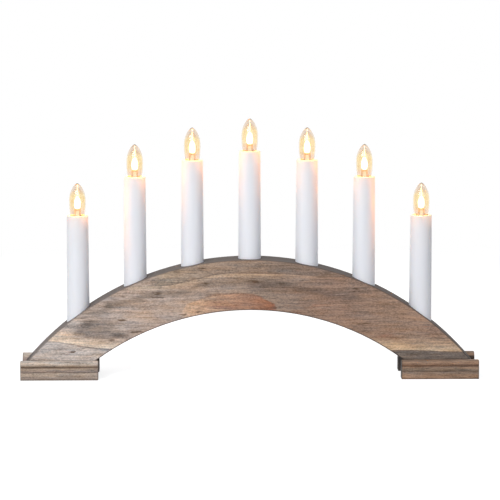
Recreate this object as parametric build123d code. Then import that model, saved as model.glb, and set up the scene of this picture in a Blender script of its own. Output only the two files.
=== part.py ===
from build123d import *
import math
import os

# A free-standing electric candle arch: a wooden bow on four foot rails, with seven candle sleeves,
# each with a lamp holder and a screw-in candle bulb. Millimetres, +Z up. X is the width, the front
# faces -Y, and the origin is on the floor under the middle of the arch.

os.makedirs("parts", exist_ok=True)

# Bow, seen from the front
overall_width = 420.0
crown_height = 109.2
soffit_height = 62.6
bow_depth = 28.0
bow_overrun = 6.0  # the outer curve would meet the floor this far outside the rails
leg_reach = 49.3  # the inner curve meets the floor this far inside the rail ends
leg_inset = 4.0  # the legs are trimmed this far inside the rail ends
bow_arris = 0.8
candle_count = 7

# Foot rails
rail_length = 71.0
rail_height = 17.0
rail_thickness = 12.0
rail_back_round = 5.0  # on the top edge that faces the leg
quirk_height = 11.6  # foot of the half-round nose along the top
quirk_width = 1.2
bead_height = 7.1
bead_width = 1.4
bead_depth = 0.5
groove_rim_round = 0.35

# Dowels between the legs and the rails
dowel_diameter = 6.0
dowel_in_rail = 7.0
dowel_in_leg = 10.0
dowel_spacing = 30.0
dowel_end_gap = 0.5
dowel_chamfer = 0.6

# Wiring groove in the back of the bow, its cover strip and brads
groove_width = 12.0
groove_depth = 16.0
strip_width = 20.0
strip_thickness = 3.0
strip_clearance = 0.1
wire_bore_diameter = 8.0
brad_shank = 1.2
brad_length = 9.0
brad_head = 3.2
brad_head_height = 0.8

# Cord inlet bush
bush_flange = 12.0
bush_flange_height = 2.4
bush_flange_round = 1.0
bush_body = 9.0
bush_body_length = 7.0
bush_bore = 5.2
bush_rail_gap = 0.8

# Candle sleeve
sleeve_length = 102.0
sleeve_bottom = 21.0
sleeve_top = 19.5
sleeve_wall = 1.0
sleeve_lid = 1.2
sleeve_edge_round = 1.1
seat_clearance = 0.15
seat_depths = (2.9, 3.8, 0.5, 3.2)  # under the bow's surface at the downhill edge, crown outwards

# Lamp holder on its stem
foot_height = 4.0
foot_clearance = 0.2
spigot_length = 5.0
spigot_clearance = 0.1
stem_diameter = 8.0
stem_bore = 4.5
cup_height = 16.0
cup_floor = 1.4
cup_taper = 5.0
cup_clearance = 0.25
shell_wall = 0.3
shell_clearance = 0.15
shell_rim_drop = 0.5  # the shell's top is this far under the top of the cup
shell_tab_width = 2.4
contact_width = 2.6
contact_thickness = 0.35
contact_gap = 0.3  # between the contact tongue and the bulb's tip

# Screw-in candle bulb with an E10 cap
cap_diameter = 9.5
cap_length = 13.0
cap_wall = 0.25
thread_pitch = 1.814
thread_depth = 0.4
thread_count = 5
cap_shoulder = 1.5
cap_above_cup = 1.5  # the cap's top is this far over the top of the cup
tip_diameter = 5.0
tip_insulator = 1.0
tip_solder = 0.6
tip_solder_diameter = 2.6
tip_clearance = 0.05
envelope_neck_length = 4.0
envelope_sunk = 3.4  # the cap's top is this far under the top of the sleeve
envelope_height = 29.5
envelope_throat = 13.0
envelope_diameter = 15.1
envelope_wall = 0.7
throat_clearance = 0.45
led_base_height = 1.5
led_post_diameter = 3.6
led_start = 6.0  # over the top of the sleeve
led_height = 11.7
led_diameter = 6.4
led_round = 2.6

# Leads, from holder to holder in series
lead_diameter = 1.4
lead_spacing = 2.4
lead_bend = 3.6
lead_return_depth = 4.0
lead_return_drop = 3.0
lead_end_gap = 1.6  # from the ends of the leads to the line of the bush's bore

cut_overrun = 1.0

# Shares of the bulb's height and radius, from its widest place to its tip
belly_share = 0.47
upper_height_share = 0.80
upper_radius_share = 0.71
tip_height_share = 0.965
tip_radius_share = 0.25

# Shares of a thread pitch at its crest and at the root after it, of a brad's head that is domed, and
# of the nose's radius that the quirk goes in
crest_share = 0.4
root_share = 0.8
dome_share = 0.9
quirk_share = 0.45

half_width = overall_width / 2
half_depth = bow_depth / 2
outer_half_span = half_width + bow_overrun
inner_half_span = half_width - leg_reach
outer_radius = (outer_half_span**2 + crown_height**2) / (2 * crown_height)
inner_radius = (inner_half_span**2 + soffit_height**2) / (2 * soffit_height)
outer_centre = crown_height - outer_radius
inner_centre = soffit_height - inner_radius
groove_radius = (outer_radius + inner_radius) / 2
groove_centre = (outer_centre + inner_centre) / 2
leg_end = half_width - leg_inset
pitch = overall_width / (candle_count + 1)


def height_on(radius, centre, x):
    # Height of a circle of the bow over the floor, at a distance x from its middle
    return centre + math.sqrt(radius**2 - x**2)


def reach_on(radius, centre, z):
    # Distance of a circle of the bow from its middle, at a height z
    return math.sqrt(radius**2 - (z - centre) ** 2)


def candle_x(index):
    return (index - (candle_count - 1) / 2) * pitch


def seat_z(x):
    rank = round(abs(x) / pitch)
    edge = abs(x) + sleeve_bottom / 2
    return height_on(outer_radius, outer_centre, edge) - seat_depths[rank % len(seat_depths)]


def groove_z(x):
    return height_on(groove_radius, groove_centre, x)


candle_places = [candle_x(index) for index in range(candle_count)]
inlet_z = rail_height + bush_flange / 2 + bush_rail_gap
inlet_x = -reach_on(groove_radius, groove_centre, inlet_z)
dowel_z = rail_height / 2
leg_middle = (reach_on(inner_radius, inner_centre, dowel_z) + leg_end) / 2
dowel_places = [leg_middle - dowel_spacing / 2, leg_middle + dowel_spacing / 2]


def turned(corners):
    # Solid of revolution about Z, from (radius, height) corners
    return revolve(make_face(Polyline(*[(r, 0, z) for r, z in corners], close=True)), Axis.Z)


def rod(diameter, length, place, direction):
    # Round rod that starts at a place and runs along a direction
    plane = Plane(origin=place, z_dir=direction)
    return plane * Cylinder(diameter / 2, length, align=(Align.CENTER, Align.CENTER, Align.MIN))


def slab_from_back(face, depth_from, depth_to):
    # A face drawn in X and Z, made solid between two depths measured from the back of the bow
    back = Plane(origin=(0, half_depth - depth_from, 0), x_dir=(1, 0, 0), z_dir=(0, -1, 0))
    return extrude(back * face, amount=depth_to - depth_from)


def groove_slot(width):
    # Round-ended slot along the middle of the bow, from the cord inlet to the last candle
    start = math.degrees(math.atan2(groove_z(candle_places[-1]) - groove_centre, candle_places[-1]))
    end = math.degrees(math.atan2(inlet_z - groove_centre, inlet_x))
    return SlotArc(CenterArc((0, groove_centre), groove_radius, start, end - start), width)


def brad_points():
    # Brads stand between the candles, and zigzag from one edge of the strip to the other
    ledge = (strip_width + groove_width) / 4
    points = []
    for index in range(candle_count - 1):
        x = (candle_places[index] + candle_places[index + 1]) / 2
        angle = math.atan2(x, groove_z(x) - groove_centre)
        radius = groove_radius + (ledge if index % 2 else -ledge)
        points.append((radius * math.sin(angle), groove_centre + radius * math.cos(angle)))
    return points


def dowel_points():
    return [side * x for side in (-1, 1) for x in dowel_places]


def arch_board():
    outer = Pos(0, outer_centre) * Circle(outer_radius)
    inner = Pos(0, inner_centre) * Circle(inner_radius)
    window = Pos(0, crown_height) * Rectangle(2 * leg_end, 2 * crown_height)
    board = extrude(Plane.XZ * ((outer - inner) & window), amount=half_depth, both=True)
    long_edges = [edge for edge in board.edges() if edge.geom_type == GeomType.CIRCLE]
    board = chamfer(long_edges, bow_arris)
    board -= slab_from_back(groove_slot(groove_width), -cut_overrun, groove_depth)
    rebate = groove_slot(strip_width + 2 * strip_clearance)
    board -= slab_from_back(rebate, -cut_overrun, strip_thickness)
    for x in candle_places:
        seat = sleeve_bottom + 2 * seat_clearance
        board -= rod(seat, crown_height, (x, 0, seat_z(x)), (0, 0, 1))
        board -= rod(wire_bore_diameter, seat_z(x) - groove_z(x), (x, 0, groove_z(x)), (0, 0, 1))
    for x, z in brad_points():
        board -= rod(brad_shank, brad_length, (x, half_depth, z), (0, -1, 0))
    for side in (-1, 1):
        for x in dowel_points():
            start = side * (half_depth - dowel_in_leg - dowel_end_gap)
            length = dowel_in_leg + dowel_end_gap
            board -= rod(dowel_diameter, length, (x, start, dowel_z), (0, side, 0))
    return board


def rail_section():
    # Section of a rail, its back against the leg: a half-round nose over a quirk, and a shallow V below
    nose = (rail_height - quirk_height) / 2
    turn = math.degrees(math.acos(1 - quirk_share))
    nose_arc = CenterArc((rail_thickness - nose, rail_height - nose), nose, -turn, turn + 90)
    outline = Polyline(
        nose_arc @ 1,
        (0, rail_height),
        (0, 0),
        (rail_thickness, 0),
        (rail_thickness, bead_height - bead_width / 2),
        (rail_thickness - bead_depth, bead_height),
        (rail_thickness, bead_height + bead_width / 2),
        (rail_thickness, quirk_height - quirk_width / 2),
        nose_arc @ 0,
    )
    section = make_face(nose_arc + outline)
    rims = section.vertices().group_by(Axis.X)[-1].sort_by(Axis.Y)[1:]
    section = fillet(rims, groove_rim_round)
    back_corner = section.vertices().group_by(Axis.X)[0].sort_by(Axis.Y)[-1]
    return fillet(back_corner, rail_back_round)


def rear_foot_rail(side):
    rail = extrude(Plane.YZ * Pos(half_depth, 0) * rail_section(), amount=rail_length)
    rail = Pos(half_width - rail_length, 0, 0) * rail
    for x in dowel_places:
        rail -= rod(dowel_diameter, dowel_in_rail + dowel_end_gap, (x, half_depth, dowel_z), (0, 1, 0))
    return rail if side > 0 else mirror(rail, about=Plane.YZ)


def foot_rail(side, rear):
    rail = rear_foot_rail(side)
    return rail if rear else mirror(rail, about=Plane.XZ)


def foot_dowels():
    dowels = []
    for side in (-1, 1):
        for x in dowel_points():
            start = (x, side * (half_depth - dowel_in_leg), dowel_z)
            dowel = rod(dowel_diameter, dowel_in_leg + dowel_in_rail, start, (0, side, 0))
            ends = [e for e in dowel.edges() if e.geom_type == GeomType.CIRCLE]
            dowels.append(chamfer(ends, dowel_chamfer))
    return dowels


def cable_cover_strip():
    strip = slab_from_back(groove_slot(strip_width), 0, strip_thickness)
    for x, z in brad_points():
        strip -= rod(brad_shank, strip_thickness, (x, half_depth, z), (0, -1, 0))
    return strip - rod(bush_body, strip_thickness, (inlet_x, half_depth, inlet_z), (0, -1, 0))


def cover_strip_brads():
    brads = []
    for x, z in brad_points():
        head = rod(brad_head, brad_head_height, (x, half_depth, z), (0, 1, 0))
        rim = head.edges().sort_by(Axis.Y)[-1]
        head = fillet(rim, brad_head_height * dome_share)
        brads.append(head + rod(brad_shank, brad_length, (x, half_depth, z), (0, -1, 0)))
    return brads


def cord_bush():
    flange = rod(bush_flange, bush_flange_height, (inlet_x, half_depth, inlet_z), (0, 1, 0))
    flange = fillet(flange.edges().sort_by(Axis.Y)[-1], bush_flange_round)
    body = rod(bush_body, bush_body_length, (inlet_x, half_depth, inlet_z), (0, -1, 0))
    bore_length = bush_flange_height + bush_body_length
    start = (inlet_x, half_depth - bush_body_length, inlet_z)
    return flange + body - rod(bush_bore, bore_length, start, (0, 1, 0))


# Heights over the floor of a seat
cap_top = sleeve_length - envelope_sunk
cap_bottom = cap_top - cap_length
tip_bottom = cap_bottom - tip_clearance - tip_insulator - tip_solder
cup_top = cap_top - cap_above_cup
cup_bottom = cup_top - cup_height
cup_inside = cup_bottom + cup_floor
shell_bore = cap_diameter + 2 * shell_clearance
shell_outside = shell_bore + 2 * shell_wall
cap_root = cap_diameter / 2 - thread_depth
neck_radius = cap_root - cap_wall


def sleeve_radius(height):
    # Outer radius of the sleeve's taper
    return (sleeve_bottom + (sleeve_top - sleeve_bottom) * height / sleeve_length) / 2


def candle_sleeve():
    lid_underside = sleeve_length - sleeve_lid
    top_radius = sleeve_radius(sleeve_length)
    outside = turned([(0, 0), (sleeve_radius(0), 0), (top_radius, sleeve_length), (0, sleeve_length)])
    outside = fillet(outside.edges().sort_by(Axis.Z)[-1], sleeve_edge_round)
    inside = turned(
        [
            (0, 0),
            (sleeve_radius(0) - sleeve_wall, 0),
            (sleeve_radius(lid_underside) - sleeve_wall, lid_underside),
            (0, lid_underside),
        ]
    )
    opening = rod(envelope_throat + 2 * throat_clearance, sleeve_length, (0, 0, 0), (0, 0, 1))
    return outside - inside - opening


def lamp_holder():
    cup_radius = sleeve_radius(cup_top) - sleeve_wall - cup_clearance
    foot_radius = sleeve_radius(foot_height) - sleeve_wall - foot_clearance
    spigot_radius = wire_bore_diameter / 2 - spigot_clearance
    bore_radius = stem_bore / 2
    return turned(
        [
            (bore_radius, -spigot_length),
            (spigot_radius, -spigot_length),
            (spigot_radius, 0),
            (foot_radius, 0),
            (foot_radius, foot_height),
            (stem_diameter / 2, foot_height),
            (stem_diameter / 2, cup_bottom - cup_taper),
            (cup_radius, cup_bottom),
            (cup_radius, cup_top),
            (shell_outside / 2, cup_top),
            (shell_outside / 2, cup_inside),
            (bore_radius, cup_inside),
        ]
    )


def holder_shell():
    shell_top = cup_top - shell_rim_drop
    shell = turned(
        [
            (shell_bore / 2, cup_inside),
            (shell_outside / 2, cup_inside),
            (shell_outside / 2, shell_top),
            (shell_bore / 2, shell_top),
        ]
    )
    tab_reach = shell_bore / 2 + shell_wall / 2 - (lead_spacing - lead_diameter) / 2
    tab_start = -(shell_bore + shell_wall) / 2
    tab = Box(tab_reach, shell_tab_width, shell_wall, align=(Align.MIN, Align.CENTER, Align.MIN))
    return shell + Pos(tab_start, 0, cup_inside) * tab


def holder_contact():
    # Springy tongue: its foot lies on the floor of the cup, its other end waits under the bulb's tip
    half = contact_thickness / 2
    foot_start = (lead_spacing - lead_diameter) / 2
    foot_end = shell_bore / 2 - shell_tab_width / 2
    low = cup_inside + half
    high = tip_bottom - contact_gap - half
    middle = (foot_start + foot_end) / 2
    path = Polyline((foot_start, low), (foot_end, low), (middle, high), (-tip_solder_diameter / 2, high))
    tongue = Plane.XZ * trace(path, line_width=contact_thickness)
    return extrude(tongue, amount=contact_width / 2, both=True)


def bulb_cap():
    crest = cap_diameter / 2
    outline = [
        (tip_diameter / 2, cap_bottom),
        (cap_root, cap_bottom + cap_shoulder),
    ]
    thread_start = cap_bottom + cap_shoulder + thread_pitch / 2
    for turn in range(thread_count):
        base = thread_start + turn * thread_pitch
        outline += [
            (cap_root, base),
            (crest, base + thread_pitch * crest_share),
            (cap_root, base + thread_pitch * root_share),
        ]
    outline += [
        (cap_root, cap_top - cap_wall),
        (crest, cap_top - cap_wall),
        (crest, cap_top),
        (neck_radius, cap_top),
        (neck_radius, cap_bottom + cap_shoulder),
        (tip_diameter / 2 - cap_wall, cap_bottom + cap_wall),
        (tip_diameter / 2 - cap_wall, cap_bottom),
    ]
    return turned(outline)


def bulb_tip():
    top = cap_bottom - tip_clearance
    shoulder = top - tip_insulator
    return turned(
        [
            (0, top),
            (tip_diameter / 2, top),
            (tip_solder_diameter / 2, shoulder),
            (tip_solder_diameter / 2, tip_bottom + tip_solder / 2),
            (tip_solder_diameter / 4, tip_bottom),
            (0, tip_bottom),
        ]
    )


def envelope_form(wall):
    # Solid form of the bulb, drawn in by a wall: neck, throat, belly and blunt tip
    belly = envelope_diameter / 2 - wall
    rise = envelope_height - wall
    neck = neck_radius - wall
    throat = (envelope_throat / 2 - wall, sleeve_length)
    widest = (belly, sleeve_length + rise * belly_share)
    upper = (belly * upper_radius_share, sleeve_length + rise * upper_height_share)
    blunt = (belly * tip_radius_share, sleeve_length + rise * tip_height_share)
    top = (0, sleeve_length + rise)
    shoulder = (cap_diameter / 2 - wall, cap_top)
    neck_foot = cap_top - envelope_neck_length
    lower_curve = Spline(
        *[(r, 0, z) for r, z in (shoulder, throat, widest)], tangents=[(1, 0, 1), (0, 0, 1)]
    )
    upper_curve = Spline(
        *[(r, 0, z) for r, z in (widest, upper, blunt, top)], tangents=[(0, 0, 1), (-1, 0, 0)]
    )
    closing = Polyline(
        *[(r, 0, z) for r, z in (top, (0, neck_foot), (neck, neck_foot), (neck, cap_top), shoulder)]
    )
    return revolve(make_face(lower_curve + upper_curve + closing), Axis.Z)


def bulb_envelope():
    return envelope_form(0) - envelope_form(envelope_wall)


def bulb_led():
    bottom = cap_top - envelope_neck_length
    start = sleeve_length + led_start
    base = rod(2 * (neck_radius - envelope_wall), led_base_height, (0, 0, bottom), (0, 0, 1))
    post = rod(led_post_diameter, start - bottom, (0, 0, bottom), (0, 0, 1))
    glow = rod(led_diameter, led_height, (0, 0, start), (0, 0, 1))
    glow = fillet(glow.edges().sort_by(Axis.Z)[-1], led_round)
    return base + post + glow


def lead(points, bends):
    path = FilletPolyline(*points, radius=bends)
    section = Plane(origin=path @ 0, z_dir=path % 0) * Circle(lead_diameter / 2)
    return sweep(section, path=path)


def series_wires():
    offset = lead_spacing / 2
    tops = [seat_z(x) + cup_inside for x in candle_places]
    wires = []
    for index in range(candle_count - 1):
        left = candle_places[index] + offset
        right = candle_places[index + 1] - offset
        corners = [
            (left, 0, tops[index]),
            (left, 0, groove_z(left)),
            (right, 0, groove_z(right)),
            (right, 0, tops[index + 1]),
        ]
        wires.append(lead(corners, lead_bend))
    # The two end leads stop beside the bush, where the mains lead would join them
    end_x = inlet_x + bush_bore / 2 + lead_end_gap
    first = candle_places[0] - offset
    drop_z = groove_z(first) + groove_width / 3
    wires.append(lead([(first, 0, tops[0]), (first, 0, drop_z), (end_x, 0, groove_z(end_x))], lead_bend))
    last = candle_places[-1] + offset
    route = [(last, 0, tops[-1]), (last, 0, groove_z(last) - lead_return_drop)]
    places = [end_x, (candle_places[0] + candle_places[1]) / 2] + candle_places[1:-1]
    for x in reversed(places):
        route.append((x, lead_return_depth, groove_z(x) - lead_return_drop))
    wires.append(lead(route, lead_bend))
    return wires


def save(name, shape):
    export_step(Compound(children=shape) if isinstance(shape, list) else shape, f"parts/{name}.step")


save("arch_board", arch_board())
for side, side_name in ((-1, "left"), (1, "right")):
    for rear, face_name in ((False, "front"), (True, "rear")):
        save(f"{side_name}_{face_name}_foot_rail", foot_rail(side, rear))
save("foot_dowels", foot_dowels())
save("cable_cover_strip", cable_cover_strip())
save("cover_strip_brads", cover_strip_brads())
save("cord_bush", cord_bush())
save("series_wires", series_wires())

candle_pieces = {
    "candle_sleeve": candle_sleeve(),
    "lamp_holder": lamp_holder(),
    "holder_shell": holder_shell(),
    "bulb_cap": bulb_cap(),
    "bulb_tip": bulb_tip(),
    "bulb_envelope": bulb_envelope(),
    "bulb_led": bulb_led(),
}
for number, x in enumerate(candle_places, start=1):
    for piece_name, piece in candle_pieces.items():
        save(f"{piece_name}_{number}", Pos(x, 0, seat_z(x)) * piece)
save("holder_contacts", [Pos(x, 0, seat_z(x)) * holder_contact() for x in candle_places])
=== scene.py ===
import math

import bmesh
import bpy
from mathutils import Matrix, Vector
from mathutils.geometry import interpolate_bezier


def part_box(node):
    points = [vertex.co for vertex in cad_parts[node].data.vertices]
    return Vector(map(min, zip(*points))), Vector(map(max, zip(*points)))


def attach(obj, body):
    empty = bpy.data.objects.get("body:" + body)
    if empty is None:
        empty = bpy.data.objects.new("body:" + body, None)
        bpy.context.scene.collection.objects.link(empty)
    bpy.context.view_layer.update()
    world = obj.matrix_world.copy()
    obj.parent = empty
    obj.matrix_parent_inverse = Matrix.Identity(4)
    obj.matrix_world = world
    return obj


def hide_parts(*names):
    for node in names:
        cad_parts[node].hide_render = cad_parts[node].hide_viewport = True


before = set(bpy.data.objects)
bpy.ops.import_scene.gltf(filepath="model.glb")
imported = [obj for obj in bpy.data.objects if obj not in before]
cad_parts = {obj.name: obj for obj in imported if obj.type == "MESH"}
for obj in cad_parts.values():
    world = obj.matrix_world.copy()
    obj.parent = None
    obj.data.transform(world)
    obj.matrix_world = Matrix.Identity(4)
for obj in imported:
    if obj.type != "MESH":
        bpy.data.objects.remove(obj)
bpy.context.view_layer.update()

# An electric candle arch: stained wooden bow, white sleeves, small screw-in candle bulbs.
# Lengths in the dictionaries are millimetres, angles are degrees.
mm = 0.001
candleNumbers = range(1, 8)
print("frame loaded,", len(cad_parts), "nodes")


# Camera

camera = {
    "aim": (0.4, 0, 116.3),
    "distance": 2500,
    "azimuth": -1.5,
    "elevation": 8.55,
    "roll": 0.08,
    "lens": 196,
    "sensor": 36,
    "clip": (100, 20000),
}


def addObject(name, data, place=(0, 0, 0)):
    item = bpy.data.objects.new(name, data)
    item.location = place
    bpy.context.scene.collection.objects.link(item)
    return item


def turnTowards(item, target):
    # Cameras and lamps look down their own -Z
    item.rotation_euler = (target - item.location).to_track_quat("-Z", "Y").to_euler()


def addCamera():
    turn, rise = math.radians(camera["azimuth"]), math.radians(camera["elevation"])
    back = Vector((math.sin(turn) * math.cos(rise), -math.cos(turn) * math.cos(rise), math.sin(rise)))
    data = bpy.data.cameras.new("camera")
    data.lens, data.sensor_width = camera["lens"], camera["sensor"]
    data.clip_start, data.clip_end = [reach * mm for reach in camera["clip"]]
    aim = Vector(camera["aim"]) * mm
    eye = addObject("camera", data, aim + back * camera["distance"] * mm)
    turnTowards(eye, aim)
    eye.rotation_euler.rotate_axis("Z", math.radians(camera["roll"]))
    bpy.context.scene.camera = eye


addCamera()
bpy.context.scene.view_settings.view_transform = "Standard"
print("camera set")


# Colours and nodes

mixA, mixB, mixOut = 6, 7, 2  # the colour sockets of a mix node
smooth = {"interpolation_type": "SMOOTHSTEP"}


def hexColour(text, shade=1.0):
    # sRGB hex to the linear values that the shaders work in, perhaps a little darker
    parts = [int(text[i:i + 2], 16) / 255 for i in (0, 2, 4)]
    linear = [p / 12.92 if p <= 0.04045 else ((p + 0.055) / 1.055) ** 2.4 for p in parts]
    return (*[p * shade for p in linear], 1.0)


def setNode(tree, node, settings=None, links=None):
    # Settings are a node's own options or its inputs. A link from a node is from its first output.
    for key, value in (settings or {}).items():
        if isinstance(key, str) and hasattr(node, key):
            setattr(node, key, value)
        else:
            node.inputs[key].default_value = value
    for key, source in (links or {}).items():
        if isinstance(source, bpy.types.Node):
            source = source.outputs[0]
        tree.links.new(source, node.inputs[key])
    return node


def addNode(tree, kind, settings=None, links=None):
    return setNode(tree, tree.nodes.new("ShaderNode" + kind), settings, links)


def newMaterial(name):
    # A material, its tree, its shader and its texture coordinates
    material = bpy.data.materials.new(name)
    material.use_nodes = True
    tree = material.node_tree
    return material, tree, tree.nodes["Principled BSDF"], addNode(tree, "TexCoord")


def dress(node, material):
    # Give a CAD node's object one material
    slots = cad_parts[node].data.materials
    slots.clear()
    slots.append(material)


# Wood

bowSpan = (-210, 210)

bowWood = {
    "base": [(-200, "b9a89c"), (-110, "b5a193"), (-55, "b19b8b"), (15, "957f6e"), (75, "937867"),
             (125, "927866"), (165, "9f826e"), (200, "967b69")],
    "drift": 0.9,  # how far the figure moves sideways for each mm of depth
    "warp": {"long": 45, "high": 11, "shift": (9, 0, 1.4)},
    "tear": {"long": 13, "high": 1.1, "shift": (8, 0, 1.5)},
    "fibre": {"long": 17, "high": 1.15, "amount": 0.72},
    "streak": {"long": 75, "high": 3.0, "amount": 0.46},
    "speck": {"long": 1.7, "high": 1.1, "amount": 0.74},
    "pore": {"long": 7, "high": 0.9, "amount": 0.65},
    "poreColour": "5b4c42",
    "warmth": {"long": 26, "high": 5, "amount": 0.2},
    "roughness": (0.56, 0.74),
    "gloss": 0.26,  # an open, brushed face shines less than a sealed one
    "grainDepth": 0.12,
    "cutSide": [(-200, "625955"), (0, "605752"), (140, "4f4541"), (200, "372e2b")],
    "cutShare": 0.88,
    # Painted shade along the curved edges of the front face, darker to the right, and painted shadow
    # round the foot of each sleeve
    "arrisShade": [(-200, "7d6c60"), (-60, "5c4c42"), (40, "3a2d26"), (200, "33281f")],
    "arcs": [{"centre": -159.03, "radius": 268.23, "reach": 0.9, "share": 0.5},
             {"centre": -174.97, "radius": 237.57, "reach": 1.4, "share": 0.9}],
    "sleeveFootShade": {"pitch": 52.5, "inside": 10.6, "outside": 12.2, "laidColour": "3a312d", "share": 0.8},
}

# The figure, from the bottom coat up, with one entry of painted shade over the rails: lines across
# the front as (x, z), and the bands that follow each. A band is its span up from the line, the
# softness of its lower and upper edge, its reach along the bow, its colour and its share.
figure = {
    "leftLeg": {
        "line": [(-215, 38), (-184, 34.4), (-153, 29.4), (-134, 27), (-110, 26.6)],
        "bands": [
            ((-60, 0), (1, 0.8), (-260, -108), "c6bbb3", 0.9),
            ((0.4, 12), (0.8, 5), (-260, -158), "e0cfc2", 0.85),
            ((0.4, 5.5), (0.8, 5), (-260, -104), "e0ccb6", 0.9),
            ((-0.7, 0.3), (0.5, 0.5), (-260, -112), "6e635b", 0.5),
        ],
    },
    "rightLeg": {
        "line": [(110, 25), (152, 24.2), (196, 23), (215, 22.6)],
        "bands": [
            ((0.4, 10), (0.8, 8), (90, 260), "bba085", 0.85),
            ((0.4, 3), (0.5, 1.6), (104, 260), "d6b897", 0.72),
            ((-0.5, 0.3), (0.4, 0.4), (110, 260), "4a403a", 0.5),
            ((-60, 0), (1, 0.7), (94, 260), "746a62", 0.92),
        ],
    },
    # Painted shade on the legs just above the rails, where the rails' rounded tops shade them
    "shadeAboveRails": {
        "line": [(-215, 16.6), (215, 16.6)],
        "bands": [
            ((-20, 0), (1, 0.7), (-260, -120), "4b3f3a", 0.8),
            ((-20, 0), (1, 0.7), (125, 260), "3a302c", 0.9),
        ],
    },
    "streakTop": {
        "line": [(-125, 82.5), (-99, 85.6), (-78, 85.2), (-60, 89.1), (-48, 91.3), (-39, 93.7),
                 (-25, 95.9), (0, 96.2), (44, 95.5), (62, 93.7), (86, 93), (125, 92)],
        "bands": [
            ((0, 60), (0.8, 8), (-95, 120),
             [(-90, "a69582"), (-30, "a48c78"), (30, "877466"), (100, "806b5e")], 0.9),
            ((-3.4, 0), (2.4, 0.6), (-118, 70),
             [(-110, "c9b49f"), (-60, "c0a68e"), (0, "a99079"), (60, "9c8270")], 0.9),
            ((0.1, 1.1), (0.6, 0.6), (-95, 80), "6d5c50", 0.5),
        ],
    },
    "smoke": {
        "line": [(-150, 55), (-131, 65.5), (-110, 71.3), (-85, 77.7), (-67, 78.4), (-42, 86.2),
                 (-19, 88.8), (6, 88.6), (32, 87), (60, 82), (95, 77)],
        "bands": [
            ((-2.2, 2.2), (2.6, 2.2), (-140, 45), "766759", 0.62),
            ((-7, 1.5), (5, 2.5), (-10, 110), "6c594e", 0.6),
        ],
    },
    "heartTop": {
        "line": [(-75, 44), (-66, 52), (-61, 62.3), (-58, 66.6), (-46, 72.9), (-32, 76.8),
                 (-18, 77.5), (0, 77.5), (9, 75.7), (16, 72.2), (22, 68), (26, 63), (31, 50)],
        "bands": [
            ((-60, 0), (2, 0.9), (-66, 32),
             [(-60, "d3af90"), (-30, "bd987d"), (0, "a37c66"), (16, "97664c"), (26, "874f39")], 0.92),
            ((-0.8, 0.8), (0.5, 0.6), (-58, 30), "7e5f4c", 0.4),
            ((-4.4, -3.4), (0.8, 0.6), (-60, 26), "865f48", 0.4),
            ((-9, -7.6), (1, 0.8), (-56, 20), "7d5a48", 0.4),
        ],
    },
}
bandFade = 14  # how softly a band starts and ends along the bow
lineSpan, lineHeight = 500, 125  # room for the lines, from side to side and up from the table

# Clouds, knots and flecks: x, z, half length, half height, tilt and strength
figureSpots = [
    {"tint": "8b7f76", "edge": (0.12, 0.8), "spots": [  # grey clouds in the legs
        (153, 31.4, 20, 1.6, -1, 0.7),
        (-141, 46, 30, 10, 4, 0.85),
        (-141, 61, 14, 6, -10, 0.75),
        (-118, 40, 14, 4, 5, 0.6),
        (-128, 66, 17, 5, -20, 0.6),
    ]},
    {"tint": "c8b8ac", "edge": (0.12, 0.8), "spots": [  # lighter patches between them
        (-164, 49.5, 11, 5.5, -8, 1.0),
        (-118, 47, 8, 3, 0, 0.5),
    ]},
    {"tint": "655b55", "edge": (0.16, 0.76), "spots": [  # dark smudges
        (-148.5, 51, 8, 3.6, -10, 0.75),
        (-158, 43, 6, 3, -15, 0.7),
        (-130, 66, 8, 2.2, -12, 0.65),
        (-120.6, 39.4, 9, 2.2, 6, 0.8),
        (-154, 56, 5, 1.4, -8, 0.7),
        (-133, 42, 9, 2.4, 8, 0.5),
        (-81.5, 85, 3.2, 9, 5, 0.4),
    ]},
    {"tint": "54402f", "edge": (0.3, 0.62), "spots": [  # knots and short dark flecks
        (-84.7, 77.9, 6, 1.7, 0, 0.85),
        (-83.4, 74.6, 11, 1.5, 2, 0.6),
        (-70, 76.2, 5.5, 1.4, 0, 0.6),
        (-40, 87, 8, 2, -6, 0.7),
        (2.7, 89.2, 6, 1.7, 0, 0.85),
        (28, 87.6, 8, 1.9, 3, 0.6),
        (43.3, 82.5, 6, 1.7, 0, 0.6),
        (98.8, 82, 4, 1.3, 0, 0.75),
        (92.9, 79.6, 4, 1.3, 0, 0.75),
        (105.8, 50, 10, 1.2, 1, 0.7),
        (-116.3, 53.6, 4.5, 1.3, 0, 0.85),
        (-103.9, 42.9, 6, 1.2, -4, 0.8),
        (-113.2, 34.7, 2.2, 1.5, 0, 0.95),
        (-125.9, 35.4, 2.6, 1.2, 0, 0.8),
        (-160.8, 24.2, 3.4, 1.2, 0, 0.8),
        (-46, 61, 2.2, 1.1, 0, 0.9),
        (-59.3, 58.5, 2, 1.1, 0, 0.9),
        (-41.6, 101, 5, 1.4, 0, 0.7),
    ]},
    {"tint": "d8b793", "edge": (0.12, 0.8), "spots": [  # pale wood beside the legs' joints
        (131, 28.6, 15, 3.4, 0, 0.75),
        (-172, 40, 16, 4, 4, 0.5),
    ]},
    {"tint": "8a695c", "edge": (0.12, 0.7), "spots": [  # darker wood in the orange heart
        (-25, 65.5, 16, 1.9, 2, 0.8),
        (-30, 70.4, 9, 0.9, -3, 0.6),
    ]},
    {"tint": "956a54", "edge": (0.12, 0.8), "spots": [  # reddish wood and flecks
        (-13.3, 67, 11, 4, 0, 0.6),
        (70, 66, 26, 7, 4, 0.36),
        (45, 60, 8, 2.4, 0, 0.5),
        (128, 38, 20, 3.4, 3, 0.55),
        (168, 44, 16, 5, 20, 0.4),
        (-166.8, 23.6, 4, 1.4, 0, 0.5),
    ]},
]
spotCoat = {"spread": 1.6, "ragged": 0.26, "share": 0.85}


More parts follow.
